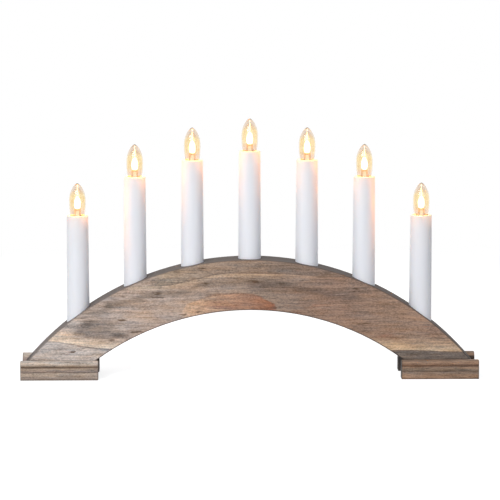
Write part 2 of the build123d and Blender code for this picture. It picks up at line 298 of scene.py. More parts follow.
def boardPlace(tree, raw, drift, front=0):
    # Object coordinates in millimetres, sliding sideways with the depth behind the front face
    scaled = addNode(tree, "VectorMath", {"operation": "SCALE", "Scale": 1 / mm},
                     {0: raw.outputs["Object"]})
    exact = addNode(tree, "SeparateXYZ", links={0: scaled})
    depth = addNode(tree, "Math", {"operation": "SUBTRACT", 1: front}, {0: exact.outputs["Y"]})
    slide = addNode(tree, "Math", {"operation": "MULTIPLY_ADD", 1: drift},
                    {0: depth, 2: exact.outputs["X"]})
    slid = addNode(tree, "CombineXYZ",
                   links={"X": slide, "Y": exact.outputs["Y"], "Z": exact.outputs["Z"]})
    return exact, slid


def grainNoise(tree, place, grain, detail=3):
    # Noise drawn out along the board, to the length and height of one fibre or streak
    size = (1 / grain["long"], 3 / grain["long"], 1 / grain["high"])
    stretched = addNode(tree, "Mapping", {"Scale": size}, {0: place})
    return addNode(tree, "TexNoise", {"Scale": 1, "Detail": detail, "Roughness": 0.6},
                   {"Vector": stretched})


def bendPlace(tree, place, bend):
    # Shift the figure by a drawn-out noise: wide for wandering grain, narrow for torn edges
    noise = grainNoise(tree, place, bend)
    centred = addNode(tree, "VectorMath", {"operation": "SUBTRACT", 1: (0.5, 0.5, 0.5)},
                      {0: noise.outputs["Color"]})
    return addNode(tree, "VectorMath",
                   {"operation": "MULTIPLY_ADD", 1: [2 * way for way in bend["shift"]]},
                   {0: centred, 2: place})


def spotMask(tree, place, noise, spots, edge):
    # Soft ellipses that run through the depth of the board, broken up by the grain
    spread, ragged = spotCoat["spread"], spotCoat["ragged"]
    total = None
    for x, z, halfLong, halfHigh, tilt, strength in spots:
        spot = addNode(tree, "Mapping",
                       {"vector_type": "TEXTURE", "Location": (x, 0, z),
                        "Rotation": (0, math.radians(tilt), 0),
                        "Scale": (halfLong * spread, 1 / mm, halfHigh * spread)}, {0: place})
        spot = addNode(tree, "TexGradient", {"gradient_type": "SPHERICAL"}, {0: spot})
        spot = addNode(tree, "Math", {"operation": "MULTIPLY", 1: strength}, {0: spot.outputs[1]})
        if total:
            spot = addNode(tree, "Math", {"operation": "MAXIMUM"}, {0: total, 1: spot})
        total = spot
    broken = addNode(tree, "MapRange", {1: 0.3, 2: 0.7, 3: -ragged, 4: ragged}, {0: noise})
    total = addNode(tree, "Math", {"operation": "ADD"}, {0: total, 1: broken})
    return addNode(tree, "MapRange", {**smooth, 1: edge[0], 2: edge[1]}, {0: total})


def heightOver(tree, split, line):
    # How far a place lies above a line across the figure
    along = addNode(tree, "MapRange", {1: -lineSpan / 2, 2: lineSpan / 2}, {0: split.outputs["X"]})
    curve = addNode(tree, "FloatCurve", links={"Value": along})
    points = curve.mapping.curves[0].points
    for x, z in line:
        points.new(x / lineSpan + 0.5, z / lineHeight)
    points[0].location = (0, line[0][1] / lineHeight)
    points[-1].location = (1, line[-1][1] / lineHeight)
    curve.mapping.update()
    return addNode(tree, "Math", {"operation": "MULTIPLY_ADD", 1: -lineHeight},
                   {0: curve, 2: split.outputs["Z"]})


def bandMask(tree, over, along, span, soft, reach):
    # 1 inside a band that follows a line, with a softness for each edge
    (low, high), (softLow, softHigh), (left, right) = span, soft, reach
    edges = [(over, low - softLow, low + softLow), (over, high + softHigh, high - softHigh),
             (along, left, left + bandFade), (along, right, right - bandFade)]
    total = None
    for value, outside, inside in edges:
        edge = addNode(tree, "MapRange", {**smooth, 1: outside, 2: inside}, {0: value})
        if total:
            edge = addNode(tree, "Math", {"operation": "MULTIPLY"}, {0: total, 1: edge})
        total = edge
    return total


def layStainAndShade(tree, below, laidColour, mask, share=1.0):
    # A colour laid over the wood below it where the mask is 1: real stain in some places, painted
    # shade in others; it may be a hex colour
    strength = addNode(tree, "Math", {"operation": "MULTIPLY", 1: share}, {0: mask})
    settings, links = {"data_type": "RGBA"}, {0: strength, mixA: below}
    if isinstance(laidColour, str):
        settings[mixB] = hexColour(laidColour)
    else:
        links[mixB] = laidColour
    return addNode(tree, "Mix", settings, links).outputs[mixOut]


def rampAlong(tree, value, stops, low, high):
    # Colours at places along one axis
    share = addNode(tree, "MapRange", {1: low, 2: high}, {0: value})
    ramp = addNode(tree, "ValToRGB", links={0: share})
    elements = ramp.color_ramp.elements
    for place, colour in stops:
        element = elements.new((place - low) / (high - low))
        element.color = hexColour(colour)
    elements.remove(elements[0])
    elements.remove(elements[-1])
    return ramp.outputs[0]


def grainShade(tree, place, colour, wood):
    # Lighten and darken the stain by streaks, fibres and specks, and warm it here and there
    noises, shades = {}, {}
    for name in ("streak", "fibre", "speck", "warmth"):
        half = wood[name]["amount"] / 2
        noises[name] = grainNoise(tree, place, wood[name])
        shades[name] = addNode(tree, "MapRange", {1: 0.25, 2: 0.75, 3: -half, 4: half},
                               {0: noises[name]})
    total = addNode(tree, "Math", {"operation": "ADD"}, {0: shades["streak"], 1: shades["fibre"]})
    total = addNode(tree, "Math", {"operation": "ADD"}, {0: total, 1: shades["speck"]})
    total = addNode(tree, "Math", {"operation": "ADD", 1: 1.0}, {0: total})
    tint = addNode(tree, "VectorMath", {"operation": "MULTIPLY_ADD", 1: (1, 0.1, -1)},
                   {0: shades["warmth"], 2: total})
    shaded = addNode(tree, "VectorMath", {"operation": "MULTIPLY"}, {0: colour, 1: tint})
    return shaded, noises["fibre"]


def facingMask(tree, raw, axis, outside, inside, way=0):
    # How squarely a surface faces along one axis, either way or only one
    split = addNode(tree, "SeparateXYZ", links={0: raw.outputs["Normal"]})
    size = addNode(tree, "Math", {"operation": "MULTIPLY" if way else "ABSOLUTE", 1: way},
                   {0: split.outputs[axis]})
    return addNode(tree, "MapRange", {1: outside, 2: inside}, {0: size})


def lineMask(tree, value, place, reach):
    # 1 where a value is at one place, down to 0 a little way off
    away = addNode(tree, "Math", {"operation": "SUBTRACT", 1: place}, {0: value})
    away = addNode(tree, "Math", {"operation": "ABSOLUTE"}, {0: away})
    return addNode(tree, "MapRange", {**smooth, 1: reach, 2: 0}, {0: away})


def arcMask(tree, split, edge):
    # 1 along a curved edge of the bow
    rise = addNode(tree, "Math", {"operation": "SUBTRACT", 1: edge["centre"]},
                   {0: split.outputs["Z"]})
    spoke = addNode(tree, "CombineXYZ", links={"X": split.outputs["X"], "Z": rise})
    reach = addNode(tree, "VectorMath", {"operation": "LENGTH"}, {0: spoke})
    return lineMask(tree, reach.outputs["Value"], edge["radius"], edge["reach"])


def sleeveFootShadeMask(tree, split, sleeveFootShade):
    # 1 round the foot of every sleeve, where a painted shadow goes
    across = addNode(tree, "Math",
                     {"operation": "WRAP", 1: sleeveFootShade["pitch"] / 2, 2: -sleeveFootShade["pitch"] / 2},
                     {0: split.outputs["X"]})
    spoke = addNode(tree, "CombineXYZ", links={"X": across, "Y": split.outputs["Y"]})
    reach = addNode(tree, "VectorMath", {"operation": "LENGTH"}, {0: spoke})
    return addNode(tree, "MapRange", {**smooth, 1: sleeveFootShade["outside"], 2: sleeveFootShade["inside"]},
                   {0: reach.outputs["Value"]})


def grainCoat(tree, place, colour, wood):
    # The grain over the stain, with short open pores where the stain has gathered
    colour, fibre = grainShade(tree, place, colour, wood)
    noise = grainNoise(tree, place, wood["pore"], 1)
    pores = addNode(tree, "MapRange", {**smooth, 1: 0.6, 2: 0.76, 4: wood["pore"]["amount"]},
                    {0: noise})
    return layStainAndShade(tree, colour, wood["poreColour"], pores), fibre, pores


def finishWood(tree, shader, wood, colour, fibre, pores):
    low, high = wood["roughness"]
    rough = addNode(tree, "MapRange", {3: low, 4: high}, {0: fibre})
    relief = addNode(tree, "Math", {"operation": "SUBTRACT"}, {0: fibre, 1: pores})
    bump = addNode(tree, "Bump", {"Strength": 0.6, "Distance": wood["grainDepth"] * mm},
                   {"Height": relief})
    setNode(tree, shader, {"Specular IOR Level": wood["gloss"]},
            {"Base Color": colour, "Roughness": rough, "Normal": bump})


def stainedBowWood():
    # Brushed softwood staves under a thin grey-brown stain: matt, level grain, knots and grey
    # clouds. The fibres are drawn about 1 mm high, coarser than real ones, so that they show from
    # a step away.
    material, tree, shader, raw = newMaterial("stainedSoftwoodBoard")
    exact, flat = boardPlace(tree, raw, bowWood["drift"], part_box("arch_board")[0].y / mm)
    place = bendPlace(tree, flat, bowWood["warp"])
    torn = bendPlace(tree, place, bowWood["tear"])
    even, ragged = [addNode(tree, "SeparateXYZ", links={0: source}) for source in (place, torn)]
    along = even.outputs["X"]
    colour = rampAlong(tree, along, bowWood["base"], *bowSpan)
    for name, part in figure.items():
        over = heightOver(tree, ragged if name == "smoke" else even, part["line"])
        for span, soft, reach, laidColour, share in part["bands"]:
            if not isinstance(laidColour, str):
                laidColour = rampAlong(tree, along, laidColour, *bowSpan)
            mask = bandMask(tree, over, along, span, soft, reach)
            colour = layStainAndShade(tree, colour, laidColour, mask, share)
    tear = grainNoise(tree, place, bowWood["tear"])
    for group in figureSpots:
        mask = spotMask(tree, torn, tear, group["spots"], group["edge"])
        colour = layStainAndShade(tree, colour, group["tint"], mask, spotCoat["share"])
    colour, fibre, pores = grainCoat(tree, place, colour, bowWood)
    # Painted shade along the soffit and the outer edge of the front face, darker to the right
    arrisShade = rampAlong(tree, exact.outputs["X"], bowWood["arrisShade"], *bowSpan)
    for edge in bowWood["arcs"]:
        colour = layStainAndShade(tree, colour, arrisShade, arcMask(tree, exact, edge), edge["share"])
    cutSide = rampAlong(tree, exact.outputs["X"], bowWood["cutSide"], *bowSpan)
    colour = layStainAndShade(tree, colour, cutSide, facingMask(tree, raw, "Y", 0.9, 0.6),
                      bowWood["cutShare"])
    # Painted contact shadow round the foot of each sleeve
    sleeveFootShade = bowWood["sleeveFootShade"]
    colour = layStainAndShade(tree, colour, sleeveFootShade["laidColour"], sleeveFootShadeMask(tree, exact, sleeveFootShade), sleeveFootShade["share"])
    finishWood(tree, shader, bowWood, colour, fibre, pores)
    return material


railWood = {
    "drift": 0.4,
    "warp": {"long": 30, "high": 6, "shift": (6, 0, 0.6)},
    "fibre": {"long": 12, "high": 1.0, "amount": 0.88},
    "streak": {"long": 50, "high": 2.2, "amount": 0.55},
    "speck": {"long": 1.5, "high": 1.0, "amount": 0.85},
    "pore": {"long": 5, "high": 0.9, "amount": 0.6},
    "warmth": {"long": 20, "high": 2.4, "amount": 0.2},
    "poreColour": "50443a",
    "roughness": (0.55, 0.72),
    "gloss": 0.26,
    "grainDepth": 0.1,
    "levels": {"edge": 0, "low": 1.3, "line": 6.1, "flat": 8.0, "strip": 10.6, "nose": 12.8,
               "top": 16.6},
    "grooves": {"quirk": (11.8, 1.3), "bead": (7.1, 0.9)},  # height and reach
    "endReach": 1.1,
    "endEdgeShare": 0.6,
    "endShare": 0.9,
    "legSideShadeShare": 0.9,
    "shift": (37, 11, 0),  # from one piece's grain to the next one's
}

# The colour of each rail by height on the moulding: its stain, with painted light on the top, the
# nose and the line under the bead, and painted shade at the foot; then painted shade in its grooves,
# darker end grain with painted shade at its ends, and painted shade on the side against the leg
railTones = {
    "left": {"edge": "6b5f56", "low": "8f7f73", "line": "b5a393", "flat": "96857a",
             "strip": "a3907f", "nose": "a8937f", "top": "c8bbaf",
             "groove": "645346", "quirk": 0.8, "bead": 0.45, "end": "6a5e58",
             "legSideShade": [(-206, "b09d94"), (-170, "4a3f3b"), (-145, "231c1b")]},
    "right": {"edge": "332c29", "low": "9f7e65", "line": "8a7565", "flat": "776657",
              "strip": "9a806b", "nose": "8c6c56", "top": "8c7462",
              "groove": "5d4a3f", "quirk": 0.6, "bead": 0.35, "end": "2f2927",
              "legSideShade": [(140, "4d4a4a"), (180, "40342e"), (206, "33271f")]},
}


def ownGrain(tree, place, seed):
    # Each piece is cut from another part of the board
    return addNode(tree, "VectorMath",
                   {"operation": "ADD", 1: [seed * step for step in railWood["shift"]]}, {0: place})


def railStain(title, node, tone, seed, way):
    # Moulded softwood rail under the same stain, with painted light and shade by height, painted
    # shade in its grooves and on the side against the leg, and darker end grain with painted shade at
    # its ends
    material, tree, shader, raw = newMaterial(title)
    exact, flat = boardPlace(tree, raw, railWood["drift"])
    place = bendPlace(tree, ownGrain(tree, flat, seed), railWood["warp"])
    along, level = exact.outputs["X"], exact.outputs["Z"]
    # Painted light on the top, the nose and the line under the bead; painted shade at the foot
    stops = [(height, tone[part]) for part, height in railWood["levels"].items()]
    colour = rampAlong(tree, level, stops, -1, 18)
    # Painted shade in the quirk and the bead groove
    for name, (height, reach) in railWood["grooves"].items():
        colour = layStainAndShade(tree, colour, tone["groove"], lineMask(tree, level, height, reach),
                          tone[name])
    colour, fibre, pores = grainCoat(tree, place, colour, railWood)
    # Painted shade on the side against the leg, which shows dark in the gap beyond the leg
    legSideShade = rampAlong(tree, along, tone["legSideShade"], *bowSpan)
    colour = layStainAndShade(tree, colour, legSideShade, facingMask(tree, raw, "Y", 0.8, 0.95, way),
                      railWood["legSideShadeShare"])
    # Darker end grain, deepened with painted shade
    colour = layStainAndShade(tree, colour, tone["end"], facingMask(tree, raw, "X", 0.5, 0.8),
                      railWood["endShare"])
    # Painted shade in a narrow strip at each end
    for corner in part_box(node):
        edge = lineMask(tree, along, corner.x / mm, railWood["endReach"])
        colour = layStainAndShade(tree, colour, tone["end"], edge, railWood["endEdgeShare"])
    finishWood(tree, shader, railWood, colour, fibre, pores)
    return material


def plainStain(name, colour, seed):
    # Straight-grained softwood or beech, with the bow's fine grain and no figure
    material, tree, shader, raw = newMaterial(name)
    flat = boardPlace(tree, raw, railWood["drift"])[1]
    ground = addNode(tree, "RGB")
    ground.outputs[0].default_value = hexColour(colour)
    coat = grainCoat(tree, ownGrain(tree, flat, seed), ground, bowWood)
    finishWood(tree, shader, bowWood, *coat)
    return material


def dressWood():
    dress("arch_board", stainedBowWood())
    seed = 0
    for side, tone in railTones.items():
        for face, way in (("front", 1), ("rear", -1)):
            seed += 1
            node = f"{side}_{face}_foot_rail"
            dress(node, railStain(f"stainedSoftwoodRail_{side}_{face}", node, tone, seed, way))
    dress("cable_cover_strip", plainStain("stainedSoftwoodStrip", "8d7c70", 9))
    dress("foot_dowels", plainStain("beechDowel", "c49a6c", 12))


dressWood()
print("wood stained")


# Small metal and moulded parts that come from the CAD as they are

def mottledTone(tree, place, size, detail, low, high):
    # A colour that wavers between two tones, by a noise of one size
    noise = addNode(tree, "TexNoise", {"Scale": 1 / (size * mm), "Detail": detail},
                    {"Vector": place})
    tone = addNode(tree, "Mix", {"data_type": "RGBA", mixA: low, mixB: high}, {0: noise})
    return tone.outputs[mixOut], noise


def mouldedPlastic(name, colour, roughness, speck):
    # Injection-moulded plastic: even colour, very faint orange peel that softens the highlights
    material, tree, shader, raw = newMaterial(name)
    tone, peel = mottledTone(tree, raw.outputs["Object"], speck, 2, hexColour(colour),
                             hexColour(colour, 0.94))
    rough = addNode(tree, "MapRange", {3: roughness - 0.05, 4: roughness + 0.05}, {0: peel})
    bump = addNode(tree, "Bump", {"Strength": 0.25, "Distance": 0.03 * mm}, {"Height": peel})
    setNode(tree, shader, links={"Base Color": tone, "Roughness": rough, "Normal": bump})
    return material


def platedMetal(name, colour, roughness, scratch):
    # Rolled or plated metal: bright, with fine rolling marks that spread the highlights
    material, tree, shader, raw = newMaterial(name)
    drawn = addNode(tree, "Mapping", {"Scale": (1, 1, 6)}, {0: raw.outputs["Object"]})
    tone, marks = mottledTone(tree, drawn.outputs[0], scratch, 3, hexColour(colour),
                              hexColour(colour, 0.82))
    rough = addNode(tree, "MapRange", {3: roughness - 0.08, 4: roughness + 0.1}, {0: marks})
    setNode(tree, shader, {"Metallic": 1.0}, {"Base Color": tone, "Roughness": rough})
    return material


sheetBrass = platedMetal("rolledBrass", "d1ab5c", 0.3, 0.6)
holderPlastic = mouldedPlastic("mouldedUreaPlastic", "ece8df", 0.4, 0.8)
dress("cover_strip_brads", platedMetal("zincPlatedSteel", "b9b6b0", 0.34, 0.5))
dress("cord_bush", mouldedPlastic("mouldedWhitePvc", "e6e5e1", 0.42, 0.9))
dress("series_wires", mouldedPlastic("whitePvcInsulation", "e4e3dd", 0.36, 0.7))
dress("holder_contacts", sheetBrass)
for number in candleNumbers:
    dress(f"lamp_holder_{number}", holderPlastic)
    dress(f"holder_shell_{number}", sheetBrass)
print("small parts dressed")


# Turned pieces

def arcPoints(centre, radius, start, end, steps):
    # Points of an arc in the outline plane
    points = []
    for step in range(steps + 1):
        angle = math.radians(start + (end - start) * step / steps)
        points.append((centre[0] + radius * math.cos(angle), centre[1] + radius * math.sin(angle)))
    return points


def turnOutline(bm, outline, segments):
    # Lathe: a closed outline of (radius, height) points turned about Z
    verts = [bm.verts.new((r * mm, 0, z * mm)) for r, z in outline]
    edges = []
    for here in range(len(verts)):
        after = (here + 1) % len(verts)
        if outline[here][0] > 0 or outline[after][0] > 0:
            edges.append(bm.edges.new((verts[here], verts[after])))
    bmesh.ops.spin(bm, geom=verts + edges, cent=(0, 0, 0), axis=(0, 0, 1), angle=math.tau,
                   steps=segments, use_merge=True)
    bmesh.ops.remove_doubles(bm, verts=bm.verts, dist=0.002 * mm)


def finishPiece(bm, name, place, body, node, materials, sharp=35):
    # Close the mesh at its place on the arch and hand it to the frame. Each point keeps its
    # height over the top of the sleeve (or over its foot) in millimetres, for the materials.
    bmesh.ops.recalc_face_normals(bm, faces=bm.faces)
    heights = [vert.co.z / mm for vert in bm.verts]
    bmesh.ops.translate(bm, verts=bm.verts, vec=place)
    mesh = bpy.data.meshes.new(name)
    bm.to_mesh(mesh)
    bm.free()
    mesh.attributes.new("height", "FLOAT", "POINT").data.foreach_set("value", heights)
    mesh.shade_smooth()
    mesh.set_sharp_from_angle(angle=math.radians(sharp))
    for material in materials:
        mesh.materials.append(material)
    piece = addObject(name, mesh)
    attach(piece, body)
    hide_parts(node)
    return piece


def candleFoot(number):
    # Middle of a sleeve's lower end
    low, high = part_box(f"candle_sleeve_{number}")
    return Vector(((low.x + high.x) / 2, (low.y + high.y) / 2, low.z))


sleeveLow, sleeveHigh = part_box("candle_sleeve_1")
sleeve = {
    "length": (sleeveHigh.z - sleeveLow.z) / mm,
    "foot": (sleeveHigh.x - sleeveLow.x) / 2 / mm,
    "footRound": 0.3,
    "footChamfer": 0.25,  # inside
    "taper": 0.75,
    "wall": 1.0,
    "lid": 1.2,
    "edgeRound": 1.1,
    "mouth": 6.95,
    "mouthRound": 0.45,
    "segments": 72,
    # Colours by height
    "white": [(0, "ecedf1"), (70, "edeef1"), (90, "f1edec"), (98, "f8e9e2"), (101.1, "ffe8d8"),
              (101.5, "fff3cf")],
    "coolWhite": "ecedf1",  # comes back on the side away from the glow
    "glow": {"colour": "ffc49c", "from": 86, "strength": 0.34},  # bulb light in the wall under it
    "cloud": 6.25,  # uneven flow in the wall
    "peel": 0.7143,  # orange peel on it
}


def satinSleevePlastic():
    # White polypropylene, moulded: satin, and warmed near the top by the bulb's light in its wall
    material, tree, shader, raw = newMaterial("mouldedWhitePolypropylene")
    height = addNode(tree, "Attribute", {"attribute_name": "height"}).outputs["Fac"]
    warm = rampAlong(tree, height, sleeve["white"], 0, sleeve["length"])
    cool = addNode(tree, "MapRange", {3: 0.55, 4: 0.0}, {0: facingMask(tree, raw, "X", -1, 0.9, 1)})
    ground = layStainAndShade(tree, warm, sleeve["coolWhite"], cool)
    flow = addNode(tree, "Mapping", {"Scale": (1, 1, 0.12)}, {0: raw.outputs["Object"]})
    cloud = addNode(tree, "TexNoise", {"Scale": 1 / (sleeve["cloud"] * mm)}, {"Vector": flow})
    tone = addNode(tree, "Mix",
                   {"data_type": "RGBA", "blend_type": "MULTIPLY", mixB: hexColour("f6f6f7")},
                   {0: cloud, mixA: ground})
    peel = addNode(tree, "TexNoise", {"Scale": 1 / (sleeve["peel"] * mm), "Detail": 1},
                   {"Vector": raw.outputs["Object"]})
    rough = addNode(tree, "MapRange", {3: 0.36, 4: 0.5}, {0: peel})
    bump = addNode(tree, "Bump", {"Strength": 0.2, "Distance": 0.02 * mm}, {"Height": peel})
    glow = sleeve["glow"]
    rise = addNode(tree, "MapRange",
                   {**smooth, 1: glow["from"], 2: sleeve["length"], 4: glow["strength"]},
                   {0: height})
    power = addNode(tree, "Math", {"operation": "MULTIPLY"},
                    {0: rise, 1: facingMask(tree, raw, "X", 0.1, 0.95, 1)})
    setNode(tree, shader,
            {"Emission Color": hexColour(glow["colour"]), "Subsurface Weight": 0.12,
             "Subsurface Radius": (1.0, 0.7, 0.5), "Subsurface Scale": 2.2 * mm},
            {"Base Color": tone.outputs[mixOut], "Roughness": rough, "Normal": bump,
             "Emission Strength": power})
    return material


def makeSleeve(number, material):
    top = sleeve["length"]
    foot, tip = sleeve["foot"], sleeve["foot"] - sleeve["taper"]
    edge, lip, wall = sleeve["edgeRound"], sleeve["mouthRound"], sleeve["wall"]
    footRound, chamfer = sleeve["footRound"], sleeve["footChamfer"]
    outline = [(foot - wall, chamfer), (foot - wall + chamfer, 0), (foot - footRound, 0),
               (foot, footRound)]
    outline += [(foot - sleeve["taper"] * share, top * share) for share in (0.25, 0.5, 0.75)]
    outline += arcPoints((tip - edge, top - edge), edge, 0, 90, 8)
    outline += arcPoints((sleeve["mouth"] + lip, top - lip), lip, 90, 180, 4)
    outline += [(sleeve["mouth"], top - sleeve["lid"]), (tip - wall, top - sleeve["lid"]),
                (foot - sleeve["taper"] / 2 - wall, top / 2)]
    bm = bmesh.new()
    turnOutline(bm, outline, sleeve["segments"])
    finishPiece(bm, f"candleSleeve_{number}", candleFoot(number), "arch",
                f"candle_sleeve_{number}", [material])


sleevePlastic = satinSleevePlastic()
for number in candleNumbers:
    makeSleeve(number, sleevePlastic)
print("sleeves turned")


# Bulbs. Heights are over the top of the sleeve.

bulb = {
    "tint": [(-8, "f2e6dc"), (3, "f4e8de"), (8, "f5edd8"), (19, "f5edd4"), (23, "ece0d2"),
             (29, "e2d9d2")],
    "flats": [(2, "e8d4cc"), (8, "efd5a4"), (19, "efd5a4"), (24, "dfcab8"), (29, "d2c6bf")],
    "flatsShare": 0.75,
    "mottle": 2.0833,  # width of a flat
    "scatter": {"colour": "ffd9a4", "strength": 0.045},  # lamp light that the acrylic scatters
    "soak": "b3a092",
    "soakDensity": 42,
    "radius": 7.55,
    "height": 29.5,
    "belly": 13.9,
    "neck": 4.1,
    "neckFoot": -7.4,
    "capTop": -3.4,
    "capRadius": 4.75,
    "wall": 0.7,
    "solidTip": 3.6,
    "shoulderHandle": 2.1,
    "bellyHandle": 9.0,
    "riseHandle": 0.6,
    "tipHandle": 0.25,
    "steps": 14,
    "segments": 64,
}

core = {
    "outline": [(0, 6.0), (1.5, 6.05), (2.2, 6.5), (2.7, 7.6), (2.95, 9.2), (2.95, 11.5),
                (2.55, 14.0), (1.75, 16.1), (0.85, 17.5), (0, 18.0)],
    # The light that it throws up into the solid tip
    "streak": [(0, 18.3), (1.0, 18.6), (0.95, 20), (0.7, 23), (0.42, 25.6), (0.15, 27.4),
               (0, 27.8)],
    "power": 2.2,
    "streakPower": 0.85,
    "cloud": 2,
    "segments": (40, 16),
}
seat = {"foot": -7.0, "footRadius": 2.8, "footTop": -4.0, "wideAt": -1.0, "wide": 2.6,
        "shoulder": (2.4, 3.0), "top": 5.0, "topRadius": 1.6, "ribs": 8, "ribDepth": 0.25,
        "cloud": 1.4286}
legs = {"width": 1.4, "thick": 0.5, "footX": 2.6, "foot": -1.5, "topX": 1.8, "top": 5.8,
        "bridge": 5.2, "bridgeHigh": 1.2, "out": 2.8, "edgeRound": 0.08, "marks": 0.4}
cap = {"length": 13.0, "wall": 0.25, "root": 4.35, "crest": 4.75, "pitch": 1.814, "turns": 4.6,
       "turnSteps": 32, "rim": 0.5, "shoulder": 1.5, "bendIn": 0.5, "bendShare": 0.7,
       "startShare": 0.1, "segments": 48}
# Section of the thread's ridge: over the root or under the crest, and up from its foot
ridgeSection = [("root", -0.1, 0), ("root", 0.12, 0.2), ("crest", -0.08, 0.55), ("crest", 0, 0.75),
                ("crest", -0.08, 0.95), ("root", 0.12, 1.3), ("root", -0.1, 1.5)]
contact = {"radius": 2.5, "insulator": 1.0, "edge": (0.15, 0.3), "solder": 0.6,
           "solderRadius": 1.3, "sunk": 0.1, "gap": 0.05, "cloud": 1.1111, "segments": 40}


def envelopeOutline(inset):
    # Half outline of the envelope, from its neck to its tip, drawn in by a wall
    wide, top = bulb["radius"] - inset, bulb["height"] - (bulb["solidTip"] if inset else 0)
    shoulder = Vector((bulb["capRadius"] - inset, bulb["capTop"], 0))
    belly = Vector((wide, bulb["belly"], 0))
    tip = Vector((0, top, 0))
    rise = top - bulb["belly"]
    lower = interpolate_bezier(shoulder, shoulder + Vector((1, 1, 0)) * bulb["shoulderHandle"],
                               belly - Vector((0, bulb["bellyHandle"], 0)), belly, bulb["steps"])
    upper = interpolate_bezier(belly, belly + Vector((0, rise * bulb["riseHandle"], 0)),
                               tip + Vector((wide * bulb["tipHandle"], 0, 0)), tip,
                               bulb["steps"] + 4)
    curve = [(p.x, p.y) for p in lower[:-1] + upper[:-1]] + [(0, top)]
    neck = bulb["neck"] - inset
    return [(neck, bulb["neckFoot"]), (neck, bulb["capTop"])] + curve


def clearAcrylic():
    # Clear moulded acrylic with the lamp lit inside: cream where the light plays in it, peach and
    # grey towards its solid tip and its neck, mottled by small flats on the inside
    material, tree, shader, raw = newMaterial("clearAcrylic")
    height = addNode(tree, "Attribute", {"attribute_name": "height"}).outputs["Fac"]
    tint, flats = [rampAlong(tree, height, bulb[name], -8, 30) for name in ("tint", "flats")]
    flow = addNode(tree, "Mapping", {"Scale": (1, 1, 0.6)}, {0: raw.outputs["Object"]})
    mottle = addNode(tree, "TexNoise",
                     {"Scale": 1 / (bulb["mottle"] * mm), "Detail": 3, "Roughness": 0.65},
                     {"Vector": flow})
    inFlats = addNode(tree, "MapRange", {**smooth, 1: 0.45, 2: 0.7}, {0: mottle})
    tint = layStainAndShade(tree, tint, flats, inFlats, bulb["flatsShare"])
    bump = addNode(tree, "Bump", {"Strength": 0.2, "Distance": 0.1 * mm}, {"Height": mottle})
    setNode(tree, shader,
            {"Transmission Weight": 1.0, "IOR": 1.49, "Roughness": 0.03,
             "Emission Color": hexColour(bulb["scatter"]["colour"]),
             "Emission Strength": bulb["scatter"]["strength"]},
            {"Base Color": tint, "Normal": bump})
    soak = addNode(tree, "VolumeAbsorption",
                   {"Color": hexColour(bulb["soak"]), "Density": bulb["soakDensity"]})
    setNode(tree, tree.nodes["Material Output"], links={"Volume": soak})
    return material


def litEpoxy():
    # Phosphor-filled epoxy at full light: a clean warm white, softer in the streak above it
    material, tree, shader, raw = newMaterial("litPhosphorEpoxy")
    glow = mottledTone(tree, raw.outputs["Object"], core["cloud"], 1, hexColour("fff3d8"),
                       hexColour("fffaf0"))[0]
    height = addNode(tree, "Attribute", {"attribute_name": "height"}).outputs["Fac"]
    power = addNode(tree, "MapRange", {1: 17.8, 2: 18.3, 3: core["power"], 4: core["streakPower"]},
                    {0: height})
    setNode(tree, shader, {"Base Color": hexColour("fff3d6"), "Roughness": 0.3},
            {"Emission Color": glow, "Emission Strength": power})
    return material


def frostedSeat():
    # Frosted acrylic foot of the lamp, which glows cream
    material, tree, shader, raw = newMaterial("frostedAcrylic")
    glow = mottledTone(tree, raw.outputs["Object"], seat["cloud"], 2, hexColour("f3dcb8"),
                       hexColour("fdf0d2"))[0]
    setNode(tree, shader,
            {"Base Color": hexColour("55493a"), "Roughness": 0.45, "Emission Strength": 1.0},
            {"Emission Color": glow})
    return material


def hotFrame():
    # Tinned lead frame under the diode, lit orange-brown by it and dulling to grey at its feet
    material, tree, shader, raw = newMaterial("tinnedLeadFrame")
    height = addNode(tree, "Attribute", {"attribute_name": "height"}).outputs["Fac"]
    glow = rampAlong(tree, height, [(-1, "b0a092"), (2.5, "cfab84"), (5.5, "e2b482")], -2, 7)
    marks = addNode(tree, "TexNoise", {"Scale": 1 / (legs["marks"] * mm)},
                    {"Vector": raw.outputs["Object"]})
    rough = addNode(tree, "MapRange", {3: 0.3, 4: 0.5}, {0: marks})
    setNode(tree, shader, {"Base Color": hexColour("4a3828"), "Emission Strength": 1.1},
            {"Emission Color": glow, "Roughness": rough})
    return material


def blackGlass():
    # Black vitreous glass ring round the contact: deep black with a wet gloss
    material, tree, shader, raw = newMaterial("blackVitreousGlass")
    tone = mottledTone(tree, raw.outputs["Object"], contact["cloud"], 2, hexColour("17141c"),
                       hexColour("26222c"))[0]
    setNode(tree, shader, {"Roughness": 0.12}, {"Base Color": tone})
    return material


def handOver(bm, name, node, number, place, materials, sharp=35, body="bulb_{}"):
    # A finished piece of one bulb, in place of its CAD node
    return finishPiece(bm, f"{name}_{number}", place, body.format(number),
                       f"{node}_{number}", materials, sharp)


def makeEnvelope(number, place, material):
    bm = bmesh.new()
    turnOutline(bm, envelopeOutline(0) + envelopeOutline(bulb["wall"])[::-1], bulb["segments"])
    piece = handOver(bm, "bulbEnvelope", "bulb_envelope", number, place,
                     [material])
    piece.visible_shadow = False  # the lamp inside lights the sleeves through it


def makeCore(number, place, material):
    # The diode's flame-shaped epoxy and its streak
    bm = bmesh.new()
    for outline, segments in zip((core["outline"], core["streak"]), core["segments"]):
        turnOutline(bm, outline, segments)
    piece = handOver(bm, "ledCore", "bulb_led", number, place, [material], 60)
    piece.visible_shadow = False


